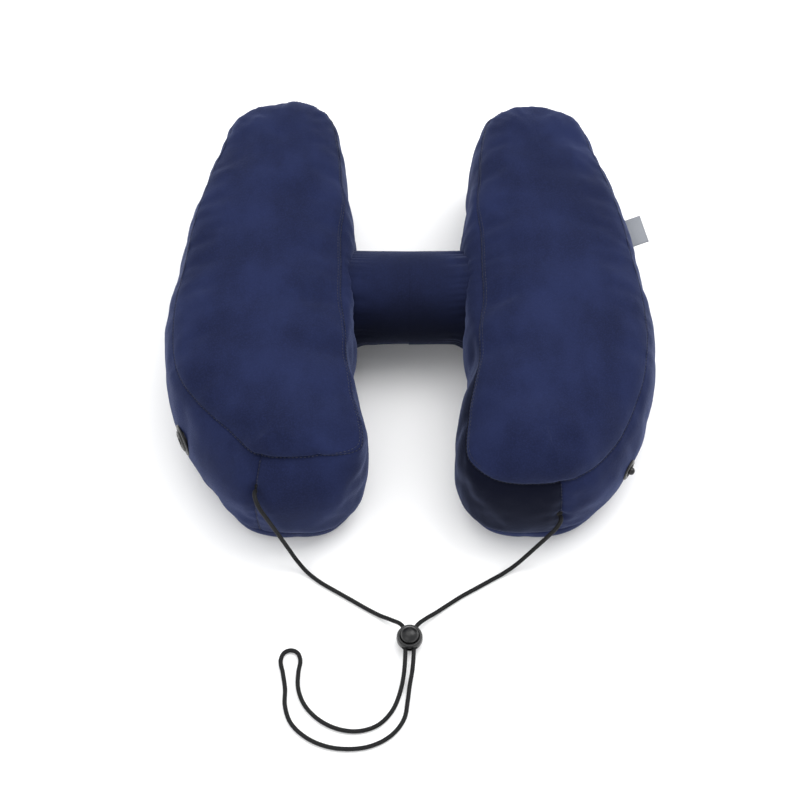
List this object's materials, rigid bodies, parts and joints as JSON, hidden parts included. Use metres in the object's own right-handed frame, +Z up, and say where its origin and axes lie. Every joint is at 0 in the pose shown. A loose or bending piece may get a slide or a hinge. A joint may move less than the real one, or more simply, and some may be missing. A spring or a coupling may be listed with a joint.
{
  "type": "u shaped neck pillow",
  "caption": "Inflatable travel neck pillow: kidney-shaped velour wings joined by a round bridge, with a drawcord and ball lock to draw the front ends together.",
  "frame": {"origin": "on the ground plane, under the centre of the pillow's box without its drawcord", "axes": "+Z up, +X to the wearer's left-hand wing as seen from the front (right in a front view), -Y towards the drawcord ends"},
  "size_m": [0.3791, 0.5419, 0.112],
  "materials": {
    "velour": "short-pile velour",
    "zip_tape": "woven zip tape with a coil edge",
    "air_film": "flocked vinyl film",
    "valve_vinyl": "soft vinyl",
    "black_plastic": "satin moulded plastic",
    "spring_steel": "drawn wire",
    "cord_braid": "round braid",
    "label_tape": "woven tape, blank"
  },
  "bodies": {
    "bridge": {"bridge_sleeve": "velour", "bridge_air_tube": "air_film", "drawcord_left_lead": "cord_braid", "drawcord_right_lead": "cord_braid", "drawcord_tail": "cord_braid"},
    "left_wing": {"left_top_panel": "velour", "left_bottom_panel": "velour", "left_outer_band": "velour", "left_inner_band": "velour", "left_air_chamber": "air_film", "left_cord_anchor": "cord_braid", "left_valve_grommet": "black_plastic", "inflation_valve_body": "valve_vinyl", "inflation_valve_flap": "valve_vinyl"},
    "right_wing": {"right_top_panel": "velour", "right_bottom_panel": "velour", "right_outer_band": "velour", "right_inner_band": "velour", "right_air_chamber": "air_film", "right_cord_anchor": "cord_braid", "right_valve_grommet": "black_plastic", "release_valve_body": "valve_vinyl", "release_valve_spring": "spring_steel", "zip_upper_tape": "zip_tape", "zip_lower_tape": "zip_tape", "side_label": "label_tape"},
    "inflation_cap": {"inflation_valve_cap": "black_plastic"},
    "release_button": {"release_valve_button": "black_plastic", "release_valve_disc": "valve_vinyl"},
    "zip_slider": {"zip_slider": "black_plastic"},
    "zip_pull": {"zip_pull": "black_plastic"},
    "cord_lock": {"cord_lock_body": "black_plastic", "cord_lock_spring": "spring_steel"},
    "lock_button": {"cord_lock_button": "black_plastic"}
  },
  "joints": [
    {"name": "left_wing_swing", "type": "hinge", "parent": "bridge", "child": "left_wing", "pos_m": [-0.0455, 0.01, 0.053], "axis": [0, 0, 1], "range_deg": [-10, 6], "stiffness_Nm_per_rad": 0.6, "deforming": ["bridge_sleeve", "drawcord_left_lead"]},
    {"name": "right_wing_swing", "type": "hinge", "parent": "bridge", "child": "right_wing", "pos_m": [0.0365, 0.01, 0.053], "axis": [0, 0, -1], "range_deg": [-10, 6], "stiffness_Nm_per_rad": 0.6, "deforming": ["bridge_sleeve", "drawcord_right_lead"]},
    {"name": "inflation_cap_pull", "type": "slide", "parent": "left_wing", "child": "inflation_cap", "axis": [-0.9094, -0.4147, -0.0327], "range_m": [0, 0.014]},
    {"name": "release_button_press", "type": "slide", "parent": "right_wing", "child": "release_button", "axis": [-0.8573, 0.5141, 0.0276], "range_m": [0, 0.0025], "stiffness_N_per_m": 300, "springref_m": -0.001, "deforming": ["release_valve_spring"]},
    {"name": "zip_slider_travel", "type": "hinge", "parent": "right_wing", "child": "zip_slider", "pos_m": [-0.3696, -0.0431, 0.056], "axis": [0, 0, 1], "range_deg": [0, 9.4]},
    {"name": "zip_pull_flip", "type": "hinge", "parent": "zip_slider", "child": "zip_pull", "pos_m": [0.1764, 0.0426, 0.056], "axis": [0, 0, -1], "range_deg": [0, 160]},
    {"name": "cord_lock_slide", "type": "slide", "parent": "bridge", "child": "cord_lock", "axis": [0, -1, 0], "range_m": [0, 0.01], "deforming": ["drawcord_tail", "drawcord_left_lead", "drawcord_right_lead"]},
    {"name": "lock_button_press", "type": "slide", "parent": "cord_lock", "child": "lock_button", "axis": [0, 0, -1], "range_m": [0, 0.0024], "stiffness_N_per_m": 400, "springref_m": -0.001, "deforming": ["cord_lock_spring"]}
  ]
}
